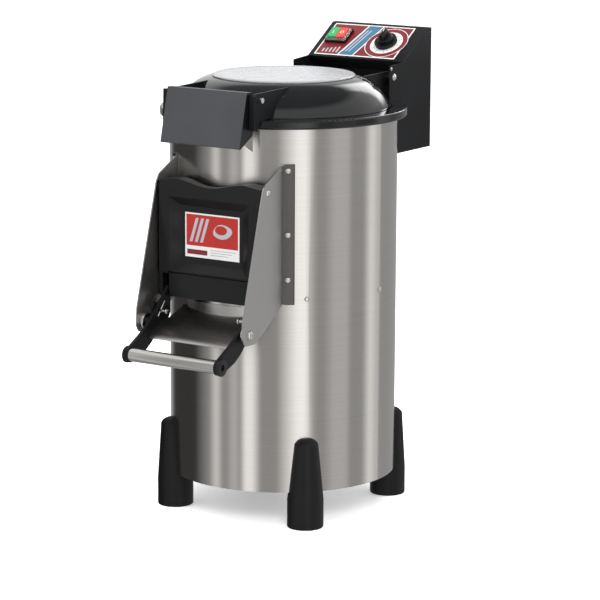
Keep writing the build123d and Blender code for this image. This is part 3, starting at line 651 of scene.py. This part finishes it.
# roller bolts: a neck and a knob inside the arm, a pin across the neck, and a domed head outside the roller
rollerBolt = {
    "neck": (3.2, 89.5, 106.5, 0.5),     # radius, from and to along X, eased edge, in mm
    "knob": (5.5, 86.5, 92.5, 2.4),
    "head": (8, 4, 0.42),                # radius, height, socket
    "headAt": 120,
    "pin": (1.6, -14.0, 24.0, 0.6),      # radius, from and to along its own line, eased edge
    "pinAt": 104.6,
    "pinSlope": (15, 19),                # towards the back and up
}


def addRollerBolts():
    low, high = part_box("arm_rollers")
    y, z = (low.y + high.y) / 2, (low.z + high.z) / 2
    along = Vector((0, *rollerBolt["pinSlope"])).normalized()
    right = Vector((1, 0, 0))
    turn = Matrix((right, along.cross(right), along)).transposed().to_4x4()
    parts = []
    for side in (-1, 1):
        across = sideFrame(side, 0, y, z)
        outside = sideFrame(side, rollerBolt["headAt"] * mm, y, z)
        parts.append(settle(domedHead(*rollerBolt["head"]), outside))
        for name in ("neck", "knob"):
            parts.append(settle(turnedPiece(*rollerBolt[name], "brightSteel"), across))
        pin = turnedPiece(*rollerBolt["pin"], "brightSteel", sides=24)
        parts.append(settle(pin, Matrix.Translation((side * rollerBolt["pinAt"] * mm, y, z)) @ turn))
    keep(joinPieces(parts), "rollerBolts", "lever", ("roller_bolts",))


print("lever pivots and rollers")
addPivots()
addRollerBolts()


# grip end caps with a hexagon socket
gripCap = {"rim": 5.0, "ease": 1.1, "socket": 0.42, "socketDeep": 3.5}    # mm, socket as a share


def addGripCaps():
    low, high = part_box("handle_caps")
    y, z = (low.y + high.y) / 2, (low.z + high.z) / 2
    radius = (high.z - low.z) / 2
    rim = gripCap["rim"] * mm
    caps = []
    for side in (-1, 1):
        bpy.ops.mesh.primitive_cylinder_add(vertices=56, radius=radius, depth=rim, location=(0, 0, -rim / 2))
        cap = settle(bpy.context.object)
        applyModifier(cap, "BEVEL", width=gripCap["ease"] * mm, segments=3, limit_method="ANGLE")
        bpy.ops.mesh.primitive_cylinder_add(vertices=6, radius=radius * gripCap["socket"],
                                            depth=gripCap["socketDeep"] * 2 * mm)
        cutter = bpy.context.object
        applyModifier(cap, "BOOLEAN", operation="DIFFERENCE", object=cutter, solver="EXACT")
        bpy.data.objects.remove(cutter)
        caps.append(settle(coat(cap, "blackMoulding"), sideFrame(side, high.x, y, z)))
    keep(joinPieces(caps), "gripEndCaps", "lever", ("handle_caps",))


print("grip caps")
addGripCaps()


# panel print and door label, laid on the film in layers about 0.1 mm thick
def flatShape(outlines, low, high, finish):
    curve = bpy.data.curves.new("flatShape", "CURVE")
    curve.dimensions = "2D"
    curve.fill_mode = "BOTH"
    curve.extrude = (high - low) * mm / 2
    for outline in outlines:
        spline = curve.splines.new("POLY")
        spline.points.add(len(outline) - 1)
        for point, (x, y) in zip(spline.points, outline):
            point.co = (x * mm, y * mm, 0, 1)
        spline.use_cyclic_u = True
    shape = bpy.data.objects.new("flatShape", curve)
    bpy.context.collection.objects.link(shape)
    shape.location.z = (low + high) * mm / 2
    onlySelect(shape)
    bpy.ops.object.convert(target="MESH")
    return coat(settle(bpy.context.object), finish)


def rectangle(left, bottom, right, top):
    return [(left, bottom), (right, bottom), (right, top), (left, top)]


def ringOutline(x, y, radius, steps=64):
    turns = [2 * pi * i / steps for i in range(steps)]
    return [(x + radius * cos(a), y + radius * sin(a)) for a in turns]


def flatText(words, size, x, y, low, high, finish):
    bpy.ops.object.text_add(location=(x * mm, y * mm, (low + high) * mm / 2))
    text = bpy.context.object
    text.data.body = words
    text.data.size = size * mm
    text.data.align_x = "CENTER"
    text.data.align_y = "CENTER"
    text.data.extrude = (high - low) * mm / 2
    bpy.ops.object.convert(target="MESH")
    return coat(settle(bpy.context.object), finish)


def slantedBar(left, right, bottom, top, lean):
    # lean is how far its top stands to the right of its bottom
    return [(left, bottom), (right, bottom), (right + lean, top), (left + lean, top)]


def slantedRow(row):
    bars = []
    for i in range(row["count"]):
        start = row["from"] + row["step"] * i
        bars.append(slantedBar(start, start + row["width"], row["bottom"], row["top"], row["lean"]))
    return bars


panelPrint = {                 # mm on the film, from its middle
    "film": 0.8,
    "half": (99.5, 52.0),      # printed field inside the border
    "split": (-30.0, 8.0),     # where the colour fields meet at mid height
    "slant": 14,
    "gap": 3,
    "band": (48.5, 50.0),      # thin white line round the dial
    "scale": (21.0, 37.5),     # white ring
    "ticksFrom": 27.8,
    "ticks": {"long": (4.0, 0.55), "short": (2.2, 0.35)},    # length, half width
    "figures": (4.6, 34.5),    # size, distance from the dial's middle
    "travel": 330,
    "numbers": 10,
    "levels": {"count": 5, "from": -88, "step": 9, "width": 4, "bottom": -46, "top": -34, "rise": 2},
    "stripes": {"count": 3, "from": -38, "step": 8, "width": 3, "bottom": -40, "top": 36, "lean": 20},
}
dial = (57.0, -2.0)            # middle of the scale and of the knob


def panelFrame():
    film = nodes["panel_overlay"]
    face = max(film.data.polygons, key=lambda polygon: polygon.area)
    out = face.normal if face.normal.z > 0 else -face.normal
    across = Vector((1, 0, 0))
    low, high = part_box("panel_overlay")
    middle = (low + high) / 2 + out * panelPrint["film"] / 2 * mm
    return Matrix.Translation(middle) @ Matrix((across, out.cross(across), out)).transposed().to_4x4()


def addPanelPrint(place):
    wide, tall = panelPrint["half"]
    slant, gap = panelPrint["slant"], panelPrint["gap"]
    left, right = [split - slant for split in panelPrint["split"]]
    x, y = dial
    bandInner, bandOuter = panelPrint["band"]
    inner, outer = panelPrint["scale"]
    redField = [(-wide, -tall), (left, -tall), (left + 2 * slant, tall), (-wide, tall)]
    blueField = slantedBar(left + gap, right, -tall, tall, 2 * slant)
    dialField = [(right + gap, -tall), (wide, -tall), (wide, tall), (right + gap + 2 * slant, tall)]
    level = panelPrint["levels"]
    levels = []
    for i in range(level["count"]):
        start = level["from"] + level["step"] * i
        top = level["top"] + level["rise"] * i
        levels.append(rectangle(start, level["bottom"], start + level["width"], top))
    layers = [
        flatShape([redField], 0, 0.10, "inkDarkRed"),
        flatShape([blueField], 0, 0.10, "inkBlue"),
        flatShape([dialField], 0, 0.10, "inkDarkRed"),
        flatShape([ringOutline(x, y, bandOuter), ringOutline(x, y, bandInner)], 0, 0.20, "inkWhite"),
        flatShape([ringOutline(x, y, bandInner), ringOutline(x, y, outer)], 0, 0.16, "inkDarkRed"),
        flatShape([ringOutline(x, y, outer), ringOutline(x, y, inner)], 0, 0.20, "inkWhite"),
        flatShape(levels, 0, 0.16, "inkSilver"),
        flatShape(slantedRow(panelPrint["stripes"]), 0, 0.16, "inkSilver"),
    ]
    ticks = []
    size, reach = panelPrint["figures"]
    steps = panelPrint["numbers"] * 5
    for i in range(steps + 1):
        a = pi / 2 - radians(panelPrint["travel"] * i / steps)
        long, half = panelPrint["ticks"]["short" if i % 5 else "long"]
        along, side = Vector((cos(a), sin(a))), Vector((-sin(a), cos(a)))
        near = along * panelPrint["ticksFrom"]
        far = along * (panelPrint["ticksFrom"] + long)
        corners = (near - side * half, far - side * half, far + side * half, near + side * half)
        ticks.append([(x + corner.x, y + corner.y) for corner in corners])
        if i % 5 == 0:
            spot = along * reach
            layers.append(flatText(str(i // 5), size, x + spot.x, y + spot.y, 0.15, 0.3, "inkBlack"))
    layers.append(flatShape(ticks, 0.15, 0.3, "inkBlack"))
    for layer in layers:
        settle(layer, place)
    keep(joinPieces(layers), "panelPrint", "machine")


# marks on the keys, moulded in white: a bar for start and a ring for stop
keyMark = {"bar": (0.9, 4.5), "ring": (4.8, 3.4), "thick": 0.3, "height": 13.9}    # mm above the film


def addKeyMarks(place):
    half, long = keyMark["bar"]
    outer, inner = keyMark["ring"]
    marks = {
        "start_button": ("start_key", [rectangle(-half, -long, half, long)]),
        "stop_button": ("stop_key", [ringOutline(0, 0, outer, 40), ringOutline(0, 0, inner, 40)]),
    }
    for node, (body, outlines) in marks.items():
        low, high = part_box(node)
        local = place.inverted() @ ((low + high) / 2)
        mark = flatShape(outlines, 0, keyMark["thick"], "inkWhite")
        settle(mark, place @ Matrix.Translation((local.x, local.y, keyMark["height"] * mm)))
        keep(mark, node + "Mark", body)


labelPrint = {                 # mm on the film, from its middle
    "half": (67.0, 46.0),
    "border": 3.2,
    "band": -22.0,             # bottom of the red field
    "potato": {"middle": (26, 12), "half": (23, 15), "bulge": (0.10, 0.08)},
    "cut": {"middle": (22, 15), "half": (15, 9.5)},
    "stripes": {"count": 3, "from": -56, "step": 13, "width": 7, "bottom": -14, "top": 36, "lean": 16},
    "block": {"right": -12, "bottom": -40, "top": -30, "inset": 2},
    "lines": {"count": 3, "left": -4, "right": 58, "shorter": 9, "bottom": -29, "thick": 1.6, "step": 5},
}


def addDoorLabel():
    low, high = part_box("door_label")
    middle = Vector(((low.x + high.x) / 2, low.y, (low.z + high.z) / 2))
    place = Matrix.Translation(middle) @ Matrix.Rotation(pi / 2, 4, "X")
    wide, tall = labelPrint["half"]
    edge = labelPrint["border"]
    (x, y), (halfWide, halfTall) = labelPrint["potato"]["middle"], labelPrint["potato"]["half"]
    bulge, lean = labelPrint["potato"]["bulge"]
    potato = [(x + halfWide * cos(a) * (1 + bulge * sin(2 * a)), y + halfTall * sin(a) * (1 - lean * cos(a)))
              for a in [2 * pi * i / 48 for i in range(48)]]
    (x, y), (halfWide, halfTall) = labelPrint["cut"]["middle"], labelPrint["cut"]["half"]
    cut = [(x + halfWide * cos(a), y + halfTall * sin(a)) for a in [2 * pi * i / 40 for i in range(40)]]
    block, line = labelPrint["block"], labelPrint["lines"]
    redField = rectangle(-wide + edge, labelPrint["band"], wide - edge, tall - edge)
    darkBlock = rectangle(-wide + edge + block["inset"], block["bottom"], block["right"], block["top"])
    lines = []
    for i in range(line["count"]):
        bottom = line["bottom"] - line["step"] * i
        right = line["right"] - line["shorter"] * i
        lines.append(rectangle(line["left"], bottom, right, bottom + line["thick"]))
    layers = [
        flatShape([redField], 0, 0.10, "inkRed"),
        flatShape([potato, cut], 0, 0.18, "inkSilver"),
        flatShape(slantedRow(labelPrint["stripes"]), 0, 0.18, "inkSilver"),
        flatShape([darkBlock], 0, 0.16, "inkDarkRed"),
        flatShape(lines, 0, 0.16, "inkSilver"),
    ]
    for layer in layers:
        settle(layer, place)
    keep(joinPieces(layers), "doorLabelPrint", "door")


# timer knob: ribbed skirt, cone and tapered pointer grip with a white line
knob = {
    "base": 1.0,                    # above the film, in mm like the rest
    "skirt": (25.0, 8.0),           # radius, height
    "rim": 1.2,
    "ribs": 40,
    "ribDeep": 0.7,
    "cone": (19.0, 17.0, 8.0),      # radius below and above, height
    "coneEase": 1.5,
    "grip": (11.0, 32.0, 14.5),     # width, length, height
    "gripTop": (0.62, 0.86),        # width and length at its top, as shares
    "gripEase": 2.6,
    "lineHalf": 0.8,                # half the white line's width
    "lineSpan": (2, 10.76),         # on the grip, from the middle out
    "dashSpan": (19.5, 23.6),       # on the skirt
    "lineDepth": (-0.2, 0.15),      # below and above the moulding
}


def isRib(centre, normal):
    # every second face round the skirt
    step = pi / knob["ribs"]
    turn = Vector((centre.x, centre.y)).angle_signed(Vector((1, 0)), 0)
    return abs(normal.z) < 0.1 and int((turn + 2 * pi) / step) % 2 == 0


def knobLine(span, height):
    start, end = span
    half = knob["lineHalf"]
    below, above = knob["lineDepth"]
    return flatShape([rectangle(-half, start, half, end)], height + below, height + above, "inkWhite")


def addTimerKnob(place):
    radius, skirtHigh = knob["skirt"]
    bpy.ops.mesh.primitive_cylinder_add(vertices=knob["ribs"] * 2, radius=radius * mm, depth=skirtHigh * mm,
                                        location=(0, 0, skirtHigh * mm / 2))
    skirt = settle(bpy.context.object)
    bpy.ops.object.mode_set(mode="EDIT")
    selectFaces(skirt, lambda centre, normal: normal.z > 0.9)
    bpy.ops.mesh.inset(thickness=knob["rim"] * mm)
    selectFaces(skirt, isRib)
    bpy.ops.mesh.extrude_region_shrink_fatten(TRANSFORM_OT_shrink_fatten={"value": -knob["ribDeep"] * mm})
    bpy.ops.object.mode_set(mode="OBJECT")

    low, high, coneHigh = knob["cone"]
    bpy.ops.mesh.primitive_cone_add(vertices=64, radius1=low * mm, radius2=high * mm, depth=coneHigh * mm,
                                    location=(0, 0, (skirtHigh + coneHigh / 2) * mm))
    cone = settle(bpy.context.object)
    applyModifier(cone, "BEVEL", width=knob["coneEase"] * mm, segments=3, limit_method="ANGLE")

    wide, long, gripHigh = knob["grip"]
    bpy.ops.mesh.primitive_cube_add(size=1, location=(0, 0, (skirtHigh + coneHigh + gripHigh / 2) * mm),
                                    scale=(wide * mm, long * mm, gripHigh * mm))
    grip = settle(bpy.context.object)
    bpy.ops.object.mode_set(mode="EDIT")
    selectFaces(grip, lambda centre, normal: normal.z > 0.9)
    bpy.ops.transform.resize(value=(*knob["gripTop"], 1))
    bpy.ops.object.mode_set(mode="OBJECT")
    applyModifier(grip, "BEVEL", width=knob["gripEase"] * mm, segments=4, limit_method="ANGLE")

    solids = [coat(part, "blackMoulding") for part in (skirt, cone, grip)]
    solids.append(knobLine(knob["lineSpan"], skirtHigh + coneHigh + gripHigh))
    solids.append(knobLine(knob["dashSpan"], skirtHigh))
    x, y = dial
    whole = settle(joinPieces(solids), place @ Matrix.Translation((x * mm, y * mm, knob["base"] * mm)))
    keep(whole, "timerKnob", "timer", ("timer_knob",))


print("panel, label and knob")
panelPlace = panelFrame()
addPanelPrint(panelPlace)
addKeyMarks(panelPlace)
addDoorLabel()
addTimerKnob(panelPlace)
